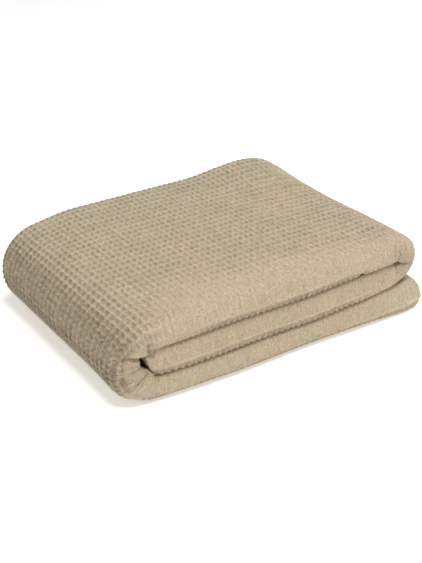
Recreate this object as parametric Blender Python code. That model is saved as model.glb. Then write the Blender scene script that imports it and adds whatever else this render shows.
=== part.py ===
"""Waffle weave cotton blanket, folded for a shelf. Metres, +Z up, standing on Z = 0.

The blanket is one sheet. It is doubled end to end, folded to a sixth of its width, and the packet
of twelve plies that this makes is folded in three like a letter and turned over.

In the finished bundle +X is the long way, -Y the side that shows the folded edges, and the three
bands lie one on another: the lowest one's end is the doubled end of the cloth, at +X, and the
middle one's end, with the hems, is tucked into the big fold at -X.
"""
import math

import bmesh
import bpy

# ---- the cloth -------------------------------------------------------------------------------
CLOTH_THICK = 0.00225           # one ply of waffle weave, pressed by the plies above it
PLY_GAP = 0.00045               # between the two plies of the doubled cloth
PASS_GAP = 0.00045              # between one pass across the width and the next
BAND_GAP = 0.0006               # between one band and the next
CLOTH_COLOUR = (0.565, 0.470, 0.310, 1.0)
CLOTH_ROUGHNESS = 0.95

# ---- the bundle ------------------------------------------------------------------------------
BUNDLE_LENGTH = 0.403           # along X, over the lowest band's end
BUNDLE_WIDTH = 0.280            # along Y
UPPER_END_SHORT = 0.006         # the two upper bands end this much before the lowest one at +X
RIGHT_TURN_STRETCH = 1.35       # the fold at +X is drawn out to a longer nose than a half round
TUCKED_BOW = 0.0112             # how far the tucked end reaches into the hollow of the fold at -X
TUCKED_SLANT = 0.0055           # its upper part reaches further in than its lower part
TUCKED_SQUARENESS = 4.0         # 2 is a round end, more is a straighter one
UPPER_DOUBLED_BOW = 0.0190      # how far the doubled end rounds out at +X, above its middle
LOWER_DOUBLED_BOW = 0.0090      # and below it
FRONT_SQUARENESS = 2.5          # 2 is a round folded edge, more is a flatter one

# ---- soft unevenness of the laid bundle --------------------------------------------------------
# Heights of the two lines between the bands, and of the top, along the bundle. The lowest band
# swells and the upper two are pressed together towards the fold at +X.
BAND_LINES = [
    {"x": -0.160, "lower": 0.0325, "upper": 0.0640, "top": 0.0945},
    {"x": -0.100, "lower": 0.0327, "upper": 0.0640, "top": 0.0965},
    {"x": 0.020, "lower": 0.0330, "upper": 0.0655, "top": 0.0970},
    {"x": 0.100, "lower": 0.0370, "upper": 0.0675, "top": 0.0965},
    {"x": 0.150, "lower": 0.0400, "upper": 0.0690, "top": 0.0970},
    {"x": 0.190, "lower": 0.0385, "upper": 0.0640, "top": 0.0962},
]
# Soft rises and dips of the top: place, reach along X and Y, and height.
TOP_HILLS = [
    {"x": 0.128, "y": 0.132, "reach_x": 0.085, "reach_y": 0.080, "rise": 0.0078},
    {"x": 0.155, "y": 0.025, "reach_x": 0.100, "reach_y": 0.110, "rise": -0.0042},
    {"x": -0.175, "y": 0.125, "reach_x": 0.080, "reach_y": 0.100, "rise": -0.0035},
]
# How far the outline draws in at the bundle's corners, seen from above, and the shares of that at
# the floor and from CORNER_HEIGHT upwards.
CORNERS = [
    {"end": -1, "side": 1, "from_x": 0.095, "draw": 0.016, "low": 1.0, "high": 1.0},
    {"end": -1, "side": -1, "from_x": 0.110, "draw": 0.006, "low": 0.0, "high": 1.0},
    {"end": -1, "side": -1, "from_x": 0.120, "draw": 0.012, "low": 1.0, "high": 0.0},
    {"end": 1, "side": 1, "from_x": 0.130, "draw": 0.007, "low": 0.8, "high": 1.0},
    {"end": 1, "side": -1, "from_x": 0.120, "draw": 0.016, "low": 0.1, "high": 1.0},
    {"end": 1, "side": -1, "from_x": 0.168, "draw": 0.006, "low": 1.0, "high": 0.0},
]
CORNER_HEIGHT = 0.070
LOWER_EDGE_TUCK = 0.0065        # the lowest band's folded edge rolls under a little
LOWER_EDGE_HEIGHT = 0.0120
TUCK_ENDS_AT = 0.190            # X by which that has faded out
TUCK_FADE = 0.080               # and over what length
LEFT_FOOT_SPREAD = 0.0062       # the big fold's near corner spreads outwards on the floor
MIDDLE_BAND_SET_BACK = 0.0015   # the middle band's folded edge lies behind the other two
EDGE_WANDER = 0.0010            # how far the folded edges stray from a straight line
EDGE_WAVES = 2.3                # waves of that along the bundle
EDGE_WAVE_LEAN = 60.0           # radians by which the wave shifts for each metre of height

# ---- facets ----------------------------------------------------------------------------------
FLAT_STEPS_ACROSS = 4           # along one pass across the width
FRONT_STEPS = 6                 # round a folded edge at -Y
BACK_STEPS = 3                  # round a folded edge at +Y
FLAT_STEPS_ALONG = 4            # along one band
RIGHT_TURN_STEPS = 6
LEFT_TURN_STEPS = 8
DOUBLED_END_STEPS = 2           # rounding of the doubled end

# ---- worked out from these ---------------------------------------------------------------------
LEVELS = 6                      # passes in one band
DOUBLE_THICK = 2 * CLOTH_THICK + PLY_GAP
PASS_PITCH = DOUBLE_THICK + PASS_GAP
PACKET_THICK = LEVELS * PASS_PITCH - PASS_GAP
BAND_PITCH = PACKET_THICK + BAND_GAP
HALF_WIDTH = BUNDLE_WIDTH / 2
FRONT_CENTRE = -HALF_WIDTH + PACKET_THICK / 2
LEFT_END = -BUNDLE_LENGTH / 2
RIGHT_END = BUNDLE_LENGTH / 2
LEFT_TURN_X = LEFT_END + BAND_PITCH + PACKET_THICK / 2
RIGHT_TURN_X = RIGHT_END - UPPER_END_SHORT - RIGHT_TURN_STRETCH * (BAND_PITCH + PACKET_THICK) / 2
HEIGHTS = {"bottom": PACKET_THICK / 2,
           "middle": PACKET_THICK / 2 + BAND_PITCH,
           "top": PACKET_THICK / 2 + 2 * BAND_PITCH}

# The passes of the doubled cloth across the width, in the order in which the cloth runs.
# level: 1 lies on the inside of the letter fold and 6 on the outside
# heads: the side that the pass runs to
# short: how far its far end, a hem or a folded edge, stays inside the back of the bundle
PASSES = [
    {"level": 1, "heads": "front", "short": 0.006},
    {"level": 6, "heads": "back", "short": 0.000},
    {"level": 5, "heads": "front", "short": 0.000},
    {"level": 2, "heads": "back", "short": 0.003},
    {"level": 3, "heads": "front", "short": 0.003},
    {"level": 4, "heads": "back", "short": 0.008},
]


def level_height(level):
    """Height of a pass in the packet, measured outwards from the packet's middle."""
    return (level - (LEVELS + 1) / 2) * PASS_PITCH


def fuller(value, squareness):
    """A cosine or sine bent so that a circle drawn with it becomes a fuller curve."""
    return math.copysign(abs(value) ** (2 / squareness), value)


# ---- across the width: a row of points (y, n) for each distance off the doubled cloth's middle ---
def pass_points(row, off):
    """One pass across the width, ends included, with the cloth's face `off` from its middle."""
    side = -1 if row["heads"] == "front" else 1
    height = level_height(row["level"]) + side * off
    back = HALF_WIDTH - PASS_PITCH / 2 - row["short"]
    steps = [FRONT_CENTRE + (back - FRONT_CENTRE) * i / FLAT_STEPS_ACROSS
             for i in range(FLAT_STEPS_ACROSS + 1)]
    if row["heads"] == "front":
        steps.reverse()
    return [(y, height) for y in steps]


def turn_points(here, there, off):
    """The folded edge between two passes, without its ends."""
    at_front = here["heads"] == "front"
    low, high = level_height(here["level"]), level_height(there["level"])
    rising = high > low
    outside = rising if at_front else not rising
    radius = abs(high - low) / 2 + (off if outside else -off)
    middle = (low + high) / 2
    count = FRONT_STEPS if at_front else BACK_STEPS
    centre = FRONT_CENTRE if at_front else HALF_WIDTH - PASS_PITCH / 2 - here["short"]
    bulge = -1 if at_front else 1
    points = []
    for i in range(1, count):
        angle = math.pi * i / count - math.pi / 2
        reach = fuller(math.cos(angle), FRONT_SQUARENESS)
        climb = fuller(math.sin(angle), FRONT_SQUARENESS) * (1 if rising else -1)
        points.append((centre + bulge * radius * reach, middle + radius * climb))
    return points


def across(off):
    """The whole way of the doubled cloth across its width, from hem to hem."""
    points = []
    for number, row in enumerate(PASSES):
        points += pass_points(row, off)
        if number + 1 < len(PASSES):
            points += turn_points(row, PASSES[number + 1], off)
    return points


# ---- along the length: where the packet's point (y, n) lies at each station ----------------------
def bow(n, squareness=2.0):
    """How far a soft end bulges at n from the packet's middle, as a share of its bow."""
    return max(1 - abs(2 * n / BAND_PITCH) ** squareness, 0.0) ** (1 / squareness)


def tucked_end(n):
    """X of the middle band's end, which rounds into the hollow of the fold at -X."""
    reach = TUCKED_BOW - TUCKED_SLANT * 2 * n / PACKET_THICK
    return LEFT_TURN_X + CLOTH_THICK - reach * bow(n, TUCKED_SQUARENESS)


def doubled_end(n):
    """X at which the lowest band's doubled end starts to close, rounded like a soft nose."""
    reach = UPPER_DOUBLED_BOW if n < 0 else LOWER_DOUBLED_BOW
    return RIGHT_END - DOUBLE_THICK / 2 - reach * (1 - bow(n))


def along():
    """Stations from the hems to the doubled end; each one is a rule that takes n to (x, z)."""
    run = [LEFT_TURN_X + (RIGHT_TURN_X - LEFT_TURN_X) * i / FLAT_STEPS_ALONG
           for i in range(FLAT_STEPS_ALONG + 1)]
    stations = [lambda n: (tucked_end(n), HEIGHTS["middle"] - n)]
    for x in run[1:]:
        stations.append(lambda n, x=x: (x, HEIGHTS["middle"] - n))
    for i in range(1, RIGHT_TURN_STEPS):
        angle = math.pi * i / RIGHT_TURN_STEPS - math.pi / 2
        stations.append(lambda n, a=angle: right_turn(n, a))
    for x in reversed(run):
        stations.append(lambda n, x=x: (x, HEIGHTS["top"] + n))
    for i in range(1, LEFT_TURN_STEPS):
        angle = math.pi * i / LEFT_TURN_STEPS + math.pi / 2
        stations.append(lambda n, a=angle: left_turn(n, a))
    for x in run:
        stations.append(lambda n, x=x: (x, HEIGHTS["bottom"] - n))
    return stations


def right_turn(n, angle):
    """The fold at +X, between the middle and the top band."""
    radius = BAND_PITCH / 2 + n
    centre = (HEIGHTS["middle"] + HEIGHTS["top"]) / 2
    return (RIGHT_TURN_X + RIGHT_TURN_STRETCH * radius * math.cos(angle),
            centre + radius * math.sin(angle))


def left_turn(n, angle):
    """The big fold at -X, which carries the top band round the tucked end to the lowest band."""
    radius = BAND_PITCH + n
    return (LEFT_TURN_X + radius * math.cos(angle),
            HEIGHTS["middle"] + radius * math.sin(angle))


# ---- the laid bundle is not quite even -----------------------------------------------------------
def smooth(share):
    """0 to 1 with soft ends."""
    share = min(max(share, 0.0), 1.0)
    return share * share * (3 - 2 * share)


def line_height(name, x):
    """Height of a line of BAND_LINES at x."""
    rows = BAND_LINES
    if x <= rows[0]["x"]:
        return rows[0][name]
    for low, high in zip(rows, rows[1:]):
        if x <= high["x"]:
            share = smooth((x - low["x"]) / (high["x"] - low["x"]))
            return low[name] + (high[name] - low[name]) * share
    return rows[-1][name]


def top_height(x, y):
    """Height of the top, with its rises and dips."""
    height = line_height("top", x)
    for row in TOP_HILLS:
        away = math.hypot((x - row["x"]) / row["reach_x"], (y - row["y"]) / row["reach_y"])
        height += row["rise"] * smooth(1 - away)
    return height


def settled_height(x, y, z):
    """Height of a point of the evenly folded bundle once the bands have settled."""
    even = [0.0, BAND_PITCH, 2 * BAND_PITCH, 2 * BAND_PITCH + PACKET_THICK]
    laid = [0.0, line_height("lower", x), line_height("upper", x), top_height(x, y)]
    for i in range(3):
        if z <= even[i + 1] or i == 2:
            share = (z - even[i]) / (even[i + 1] - even[i])
            return laid[i] + (laid[i + 1] - laid[i]) * share


def settled(x, y, z):
    """Moves a point of the evenly folded bundle to where the laid cloth has it."""
    inset = 0.0
    for row in CORNERS:
        if x * row["end"] > row["from_x"] and y * row["side"] > 0:
            share = (x * row["end"] - row["from_x"]) / (BUNDLE_LENGTH / 2 - row["from_x"])
            height_share = row["low"] + (row["high"] - row["low"]) * smooth(z / CORNER_HEIGHT)
            inset += row["draw"] * share ** 2 * height_share
    laid_y = y * (1 - inset / HALF_WIDTH)
    front = min(max(-y / HALF_WIDTH, 0.0), 1.0) ** 3
    middle_band = math.exp(-((z - HEIGHTS["middle"]) / (BAND_PITCH / 2)) ** 2)
    under = math.exp(-(z / LOWER_EDGE_HEIGHT) ** 2) * smooth((TUCK_ENDS_AT - x) / TUCK_FADE)
    wave = math.sin(2 * math.pi * EDGE_WAVES * x / BUNDLE_LENGTH + EDGE_WAVE_LEAN * z)
    laid_y += front * (MIDDLE_BAND_SET_BACK * middle_band + LOWER_EDGE_TUCK * under)
    laid_y += front * EDGE_WANDER * wave
    turned = max(LEFT_TURN_X - x, 0.0) / (LEFT_TURN_X - LEFT_END)
    spread = LEFT_FOOT_SPREAD * turned * front * (1 - smooth(z / HEIGHTS["middle"]))
    return x - spread, laid_y, settled_height(x, y, z)


# ---- the solid -----------------------------------------------------------------------------------
def cloth_points():
    """Points of the cloth by station, by place across the width and by face of a ply."""
    faces = [DOUBLE_THICK / 2, PLY_GAP / 2, -PLY_GAP / 2, -DOUBLE_THICK / 2]
    rows = [across(off) for off in faces]
    stations = along()
    points = {}
    for s, rule in enumerate(stations):
        for u in range(len(rows[0])):
            for w in range(len(faces)):
                y, n = rows[w][u]
                x, z = rule(n)
                points[s, u, w] = (x, y, z)
    return points, len(stations), len(rows[0])


def add_doubled_end(points, last, width):
    """Carries the lowest band to the doubled end, where one ply turns back into the other."""
    ends = [(-CLOTH_THICK, 1.0)]
    for i in range(DOUBLED_END_STEPS + 1):
        angle = math.pi / 2 * i / (DOUBLED_END_STEPS + 1)
        ends.append((math.sin(angle) * DOUBLE_THICK / 2, math.cos(angle)))
    for step, (beyond, share) in enumerate(ends):
        for u in range(width):
            outer, inner = points[last, u, 0], points[last, u, 3]
            middle = [(a + b) / 2 for a, b in zip(outer, inner)]
            for w in range(4):
                _, y, z = points[last, u, w]
                if w in (0, 3):
                    y = middle[1] + (y - middle[1]) * share
                    z = middle[2] + (z - middle[2]) * share
                x = doubled_end(HEIGHTS["bottom"] - z) + beyond
                points[last + 1 + step, u, w] = (x, y, z)
    return last + len(ends)


def cloth_mesh():
    """The folded sheet as one closed mesh: the outside faces of a block of cells."""
    points, station_count, width = cloth_points()
    slit_end = station_count
    last = add_doubled_end(points, station_count - 1, width)

    def filled(s, u, w):
        inside = 0 <= s < last and 0 <= u < width - 1 and 0 <= w < 3
        return inside and (w != 1 or s >= slit_end)

    mesh = bmesh.new()
    made = {}

    def vertex(key):
        if key not in made:
            made[key] = mesh.verts.new(settled(*points[key]))
        return made[key]

    for s in range(last):
        for u in range(width - 1):
            for w in range(3):
                if not filled(s, u, w):
                    continue
                for axis in range(3):
                    for end in (0, 1):
                        beyond = [s, u, w]
                        beyond[axis] += 1 if end else -1
                        if not filled(*beyond):
                            add_face(mesh, vertex, (s, u, w), axis, end)
    bmesh.ops.recalc_face_normals(mesh, faces=mesh.faces)
    centre_on_origin(mesh)
    return mesh


def centre_on_origin(mesh):
    """Brings the middle of the bundle's outline over the origin."""
    shift = [0.0, 0.0, 0.0]
    for axis in (0, 1):
        places = [vert.co[axis] for vert in mesh.verts]
        shift[axis] = -(min(places) + max(places)) / 2
    bmesh.ops.translate(mesh, verts=mesh.verts, vec=shift)


def add_face(mesh, vertex, cell, axis, end):
    """One outside face of a cell."""
    first, second = [a for a in range(3) if a != axis]
    corners = []
    for a, b in ((0, 0), (1, 0), (1, 1), (0, 1)):
        key = list(cell)
        key[axis] += end
        key[first] += a
        key[second] += b
        corners.append(vertex(tuple(key)))
    mesh.faces.new(corners)


def cotton():
    """Sand-coloured cotton, dull all over."""
    material = bpy.data.materials.new("sand_cotton")
    material.use_nodes = True
    shader = material.node_tree.nodes["Principled BSDF"]
    shader.inputs["Base Color"].default_value = CLOTH_COLOUR
    shader.inputs["Roughness"].default_value = CLOTH_ROUGHNESS
    shader.inputs["Metallic"].default_value = 0.0
    return material


def main():
    for old in list(bpy.data.objects):
        bpy.data.objects.remove(old, do_unlink=True)
    collection = bpy.data.collections.new("waffle_blanket")
    bpy.context.scene.collection.children.link(collection)
    mesh = bpy.data.meshes.new("blanket_cloth")
    cloth = cloth_mesh()
    cloth.to_mesh(mesh)
    cloth.free()
    mesh.materials.append(cotton())
    mesh.shade_smooth()
    mesh.set_sharp_from_angle(angle=math.radians(40))
    blanket = bpy.data.objects.new("blanket_cloth", mesh)
    collection.objects.link(blanket)
    print("triangles", sum(len(face.vertices) - 2 for face in mesh.polygons))


main()
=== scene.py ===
# %% [markdown]
# # A waffle weave cotton blanket, folded for a shelf
#
# The real thing is one length of thick cotton cloth with a hem on its four sides. It is doubled end
# to end, folded to a sixth of its width, and the packet that this makes is folded in three like a
# letter and turned over. What we see is three soft bands, one on another, with the folded edges at
# the front, and a relief of small square pits all over.
#
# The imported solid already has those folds, at their real size. It stays in the frame for contact
# and weight, and this script makes the cloth that is seen: the same sheet, with many more points
# where it shows, with its weave as real relief, and with the creases that a laid blanket has.

import math

import bmesh
import bpy
import numpy as np
from mathutils import Matrix, Vector

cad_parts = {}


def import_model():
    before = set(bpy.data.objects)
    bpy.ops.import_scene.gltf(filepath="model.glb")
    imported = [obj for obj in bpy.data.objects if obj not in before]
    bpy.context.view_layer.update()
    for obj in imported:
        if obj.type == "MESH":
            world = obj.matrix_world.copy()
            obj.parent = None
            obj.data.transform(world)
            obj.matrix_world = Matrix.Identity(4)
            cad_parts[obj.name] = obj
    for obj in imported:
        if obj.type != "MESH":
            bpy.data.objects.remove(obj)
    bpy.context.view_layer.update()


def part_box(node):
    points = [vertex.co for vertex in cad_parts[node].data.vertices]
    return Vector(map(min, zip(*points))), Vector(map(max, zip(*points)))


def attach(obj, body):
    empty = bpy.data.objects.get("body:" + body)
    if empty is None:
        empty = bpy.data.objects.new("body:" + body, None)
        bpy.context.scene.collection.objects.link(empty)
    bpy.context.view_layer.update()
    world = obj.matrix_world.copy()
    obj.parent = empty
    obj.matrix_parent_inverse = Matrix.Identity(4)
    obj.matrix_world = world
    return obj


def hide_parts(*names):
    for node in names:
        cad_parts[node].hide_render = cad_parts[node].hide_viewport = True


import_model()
SOLID = "blanket_cloth"
solid_low, solid_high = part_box(SOLID)
print("the solid measures, in mm,", [round(1000 * side, 1) for side in solid_high - solid_low])

# %% [markdown]
# ## The cloth and the bundle
#
# Everything below follows from a few sizes, all in metres: how thick one ply is, how far apart the
# plies lie, and how large the finished bundle is. The weave's two repeats are sizes too. A waffle
# weave has raised yarns at even distances in both directions, and they frame pits. Here the pits
# are longer across the blanket than along it. Each size could be typed in where it is used, but
# then a thicker ply would have to be changed in many places. So the rest is worked out from these.

# %% Sizes
PLY_THICK = 0.00225             # one ply, pressed by the plies above it
PLY_GAP = 0.00045               # between the two plies of the doubled cloth
PASS_GAP = 0.00045              # between one pass across the width and the next
BAND_GAP = 0.0006               # between one band and the next

BUNDLE_LENGTH = 0.403           # along X
BUNDLE_WIDTH = 0.280            # along Y
UPPER_END_SHORT = 0.006         # the two upper bands end this much before the lowest one at +X
RIGHT_TURN_STRETCH = 1.35       # the fold at +X is drawn out to a longer nose than a half round
TUCKED_BOW = 0.0112             # how far the tucked end reaches into the hollow of the fold at -X
TUCKED_SLANT = 0.0055           # its upper part reaches further in than its lower part
TUCKED_SQUARENESS = 4.0         # 2 is a round end, more is a straighter one
TUCK_SHARE = 8.0                # its bow fades out over one eighth of the middle band
UPPER_DOUBLED_BOW = 0.0190      # how far the doubled end rounds out at +X, above its middle
LOWER_DOUBLED_BOW = 0.0090      # and below it
FOLD_SQUARENESS = 2.5           # 2 is a round folded edge, more is a flatter one

CELL_ALONG = 0.0072             # one pit and its raised yarns, along the bundle
CELL_ACROSS = 0.0101            # and across it
WEAVE_DEPTH = 0.0015            # from the raised yarns down to the bottom of a pit

LEVELS = 6                      # passes in one band
DOUBLE_THICK = 2 * PLY_THICK + PLY_GAP
PASS_PITCH = DOUBLE_THICK + PASS_GAP
PACKET_THICK = LEVELS * PASS_PITCH - PASS_GAP
BAND_PITCH = PACKET_THICK + BAND_GAP
HALF_WIDTH = BUNDLE_WIDTH / 2
FRONT_CENTRE = -HALF_WIDTH + PACKET_THICK / 2
LEFT_END = -BUNDLE_LENGTH / 2
RIGHT_END = BUNDLE_LENGTH / 2
LEFT_TURN_X = LEFT_END + BAND_PITCH + PACKET_THICK / 2
RIGHT_TURN_X = RIGHT_END - UPPER_END_SHORT - RIGHT_TURN_STRETCH * (BAND_PITCH + PACKET_THICK) / 2
BOTTOM_HEIGHT = PACKET_THICK / 2
MIDDLE_HEIGHT = BOTTOM_HEIGHT + BAND_PITCH
TOP_HEIGHT = MIDDLE_HEIGHT + BAND_PITCH
print("one band is", round(1000 * PACKET_THICK, 1), "mm thick, from", 2 * LEVELS, "plies")


# %% [markdown]
# ## Folding across the width
#
# A cloth simulation could fold the blanket, but it takes long over 36 plies, and they would hardly
# come to lie in the solid's own folds. A folded sheet can also be drawn as a flat one whose points
# are moved by a rule, and that is what happens here, in two steps. The first rule takes the doubled
# cloth back and forth across the width. `q` counts along that way: even stretches are the flat
# passes, odd ones the folded edges between them. The rule answers with a place across the bundle,
# `y`, and a height in the packet, `n`. `off` is the distance of a face from the middle of the
# doubled cloth, so that the same rule serves all four faces of the two plies.

# %% The rule across the width
PASSES = [
    {"level": 1, "heads": "front", "short": 0.006},
    {"level": 6, "heads": "back", "short": 0.000},
    {"level": 5, "heads": "front", "short": 0.000},
    {"level": 2, "heads": "back", "short": 0.003},
    {"level": 3, "heads": "front", "short": 0.003},
    {"level": 4, "heads": "back", "short": 0.008},
]


def level_height(level):
    """Height of a pass in the packet, measured outwards from the packet's middle."""
    return (level - (LEVELS + 1) / 2) * PASS_PITCH


def fuller(value):
    """A cosine or sine bent so that a circle drawn with it becomes a fuller curve."""
    return np.sign(value) * np.abs(value) ** (2 / FOLD_SQUARENESS)


def across(q, off):
    """Places (y, n) in the packet at the distances q along the folded way."""
    y, n = np.zeros_like(q), np.zeros_like(q)
    for number, row in enumerate(PASSES):
        side = -1 if row["heads"] == "front" else 1
        back = HALF_WIDTH - PASS_PITCH / 2 - row["short"]
        begin, end = (back, FRONT_CENTRE) if side < 0 else (FRONT_CENTRE, back)
        here = (q >= 2 * number) & (q <= 2 * number + 1)
        share = q[here] - 2 * number
        y[here] = begin + (end - begin) * share
        n[here] = level_height(row["level"]) + side * off
        if number + 1 == len(PASSES):
            break
        low, high = level_height(row["level"]), level_height(PASSES[number + 1]["level"])
        rising = 1 if high > low else -1
        radius = abs(high - low) / 2 - side * rising * off
        turn = (q > 2 * number + 1) & (q < 2 * number + 2)
        angle = math.pi * (q[turn] - 2 * number - 1) - math.pi / 2
        y[turn] = end + side * radius * fuller(np.cos(angle))
        n[turn] = (low + high) / 2 + radius * rising * fuller(np.sin(angle))
    return y, n


print("its passes lie", [round(1000 * level_height(row["level"]), 1) for row in PASSES],
      "mm from the packet's middle")

# %% [markdown]
# ## Folding along the length
#
# The second rule folds the packet in three. It bends whatever lies in the packet and needn't know
# its plies, which keeps both rules short. `p` counts along the packet: the middle band, the fold at
# the right end, the top band, the big fold at the left end, the lowest band, and the last stretch
# up to the doubled end of the cloth. It takes the height `n` in the packet to a place in the
# bundle, seen from the side.

# %% The rule along the length
def bow(n, squareness=2.0):
    """How far a soft end bulges at n from the packet's middle, as a share of its bow."""
    return np.clip(1 - np.abs(2 * n / BAND_PITCH) ** squareness, 0, None) ** (1 / squareness)


def doubled_end(n):
    """X at which the doubled end of the lowest band starts to close, rounded like a soft nose."""
    reach = np.where(n < 0, UPPER_DOUBLED_BOW, LOWER_DOUBLED_BOW)
    return RIGHT_END - DOUBLE_THICK / 2 - reach * (1 - bow(n))


def along(p, n):
    """Places (x, z) in the bundle at the distances p along the packet and the heights n in it."""
    p, n = np.broadcast_arrays(p, n)
    share = p - np.floor(np.minimum(p, 5.0))
    run = RIGHT_TURN_X - LEFT_TURN_X
    reach = TUCKED_BOW - TUCKED_SLANT * 2 * n / PACKET_THICK
    tucked = (PLY_THICK - reach * bow(n, TUCKED_SQUARENESS)) * np.clip(1 - TUCK_SHARE * share, 0, 1)
    right_radius = BAND_PITCH / 2 + n
    left_radius = BAND_PITCH + n
    rise = math.pi * share - math.pi / 2
    fall = math.pi * share + math.pi / 2
    bands = [
        (LEFT_TURN_X + run * share + tucked, MIDDLE_HEIGHT - n),
        (RIGHT_TURN_X + RIGHT_TURN_STRETCH * right_radius * np.cos(rise),
         (MIDDLE_HEIGHT + TOP_HEIGHT) / 2 + right_radius * np.sin(rise)),
        (RIGHT_TURN_X - run * share, TOP_HEIGHT + n),
        (LEFT_TURN_X + left_radius * np.cos(fall), MIDDLE_HEIGHT + left_radius * np.sin(fall)),
        (LEFT_TURN_X + run * share, BOTTOM_HEIGHT - n),
        (RIGHT_TURN_X + (doubled_end(n) - PLY_THICK - RIGHT_TURN_X) * share, BOTTOM_HEIGHT - n),
    ]
    x, z = np.zeros(p.shape), np.zeros(p.shape)
    for number, (band_x, band_z) in enumerate(bands):
        here = (p >= number) & ((p < number + 1) | (number == 5))
        x[here], z[here] = band_x[here], band_z[here]
    return x, z


ends_x, _ = along(np.array([0.0, 6.0]), np.zeros(2))
print("the packet starts at X", round(1000 * ends_x[0], 1), "mm and ends at X",
      round(1000 * ends_x[1], 1))

# %% [markdown]
# ## How high the laid bands are
#
# A folded blanket is never quite even. The bands sink together more in one place than in another,
# and the top has soft rises and dips. The lines between the bands are heights at a few places along
# X, with soft steps between them, and the hills are round. They could be sculpted with a brush, but
# numbers are easily compared with a real blanket. All of them are the same as in the solid, so that
# the seen cloth and the solid keep together.

# %% Heights of the laid bands
BAND_LINES = {
    "x": [-0.160, -0.100, 0.020, 0.100, 0.150, 0.190],
    "lower": [0.0325, 0.0327, 0.0330, 0.0370, 0.0400, 0.0385],
    "upper": [0.0640, 0.0640, 0.0655, 0.0675, 0.0690, 0.0640],
    "top": [0.0945, 0.0965, 0.0970, 0.0965, 0.0970, 0.0962],
}
TOP_HILLS = [
    {"x": 0.128, "y": 0.132, "reach_x": 0.085, "reach_y": 0.080, "rise": 0.0078},
    {"x": 0.155, "y": 0.025, "reach_x": 0.100, "reach_y": 0.110, "rise": -0.0042},
    {"x": -0.175, "y": 0.125, "reach_x": 0.080, "reach_y": 0.100, "rise": -0.0035},
]


def smooth(share):
    """0 to 1 with soft ends."""
    share = np.clip(share, 0.0, 1.0)
    return share * share * (3 - 2 * share)


def line_height(name, x):
    """Height of a line of BAND_LINES at x."""
    places, heights = np.array(BAND_LINES["x"]), np.array(BAND_LINES[name])
    step = np.clip(np.searchsorted(places, x) - 1, 0, len(places) - 2)
    share = smooth((x - places[step]) / (places[step + 1] - places[step]))
    return heights[step] + (heights[step + 1] - heights[step]) * share


def top_height(x, y):
    """Height of the top, with its rises and dips."""
    height = line_height("top", x)
    for row in TOP_HILLS:
        away = np.hypot((x - row["x"]) / row["reach_x"], (y - row["y"]) / row["reach_y"])
        height = height + row["rise"] * smooth(1 - away)
    return height


def settled_height(x, y, z):
    """Height of a point of the evenly folded bundle once the bands have settled."""
    even = [0.0, BAND_PITCH, 2 * BAND_PITCH, 2 * BAND_PITCH + PACKET_THICK]
    laid = [0.0 * x, line_height("lower", x), line_height("upper", x), top_height(x, y)]
    height = np.zeros_like(x)
    for i in range(3):
        share = (z - even[i]) / (even[i + 1] - even[i])
        here = (z > even[i]) | (i == 0)
        height = np.where(here, laid[i] + (laid[i + 1] - laid[i]) * share, height)
    return height


middle_height = top_height(np.zeros(1), np.zeros(1))[0]
print("the middle of the top lies", round(1000 * middle_height, 1), "mm high")

# %% [markdown]
# ## How the folded edges hang
#
# At the front the plies of a band turn together, and their weight pulls the folded edge down: its
# foremost line lies in the lower third, with a long slope above it and a tight roll below. A moved
# point keeps its ply, so the rule bends the whole packet: it lowers the heights in it, makes the
# round edge squarer, and lets a narrow line stand out where the outer ply creases. Three small
# helpers fade such moves in and out.

# %% The hanging edges
# How square the folded edges are at the front, above and below each band's foremost line.
BAND_EDGES = {"above": [6.0, 6.0, 2.5], "below": [2.8, 7.0, 7.0]}
SAG_FROM = -0.095               # Y from which the folded edges hang
SAG_FADE = 0.030                # over which the hang fades out into the fold at +X
SAG_LEFT = -0.162               # X at which it fades out into the big fold, and over what length
SAG_LEFT_FADE = 0.014
SAG_POWER = 1.65                # 1 is an even edge, more hangs lower
# The foremost line of each band stands out: how far, and how wide as a share of its thickness.
EDGE_CREASES = [
    {"out": 0.0008, "half_width": 0.05},
    {"out": 0.0024, "half_width": 0.26},
]
LINE_POWER = 4                  # it stands out only where the edge hangs fully


def near_front(y, y_from):
    """0 up to y_from, rising to 1 at the foremost lines of the bundle."""
    return smooth((y_from - y) / (y_from + HALF_WIDTH))


def between(value, low, high, fade):
    """1 between two values, with soft ends of the length fade."""
    return smooth((value - low) / fade + 0.5) * smooth((high - value) / fade + 0.5)


def hump(value, middle, half_width):
    """1 at a middle value, falling to 0 on both sides of it like a soft hill."""
    return np.exp(-((value - middle) / half_width) ** 2)


def behind(share, squareness):
    """How far a folded edge lies behind its foremost line, at a share of half its thickness."""
    return PACKET_THICK / 2 * (1 - (1 - share ** squareness) ** (1 / squareness))


def sagged(x, y, z):
    """The folded edges at the front hang: each band's foremost line lies in its lower third."""
    band = np.clip(np.floor(z / BAND_PITCH), 0, 2)
    share = np.clip((z - band * BAND_PITCH) / PACKET_THICK, 0, 1)
    weight = near_front(y, SAG_FROM) * smooth((x - SAG_LEFT) / SAG_LEFT_FADE + 0.5)
    weight = weight * np.where(band > 0, smooth((RIGHT_TURN_X - x) / SAG_FADE + 0.5), 1.0)
    lowered = share + (share ** SAG_POWER - share) * weight
    outside = z - (band * BAND_PITCH + share * PACKET_THICK)
    from_line = np.abs(2 * share - 1)
    for row, side in (("above", share > 0.5), ("below", share <= 0.5)):
        squareness = np.array(BAND_EDGES[row])[band.astype(int)]
        change = behind(from_line, FOLD_SQUARENESS) - behind(from_line, squareness)
        y = y - change * side * weight
    for row in EDGE_CREASES:
        back = row["out"] * (1 - hump(share, 0.5, row["half_width"]))
        y = y + back * weight ** LINE_POWER
    return x, y, band * BAND_PITCH + lowered * PACKET_THICK + outside


print("a band's foremost line lies at", round(0.5 ** SAG_POWER, 2), "of its thickness")

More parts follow.
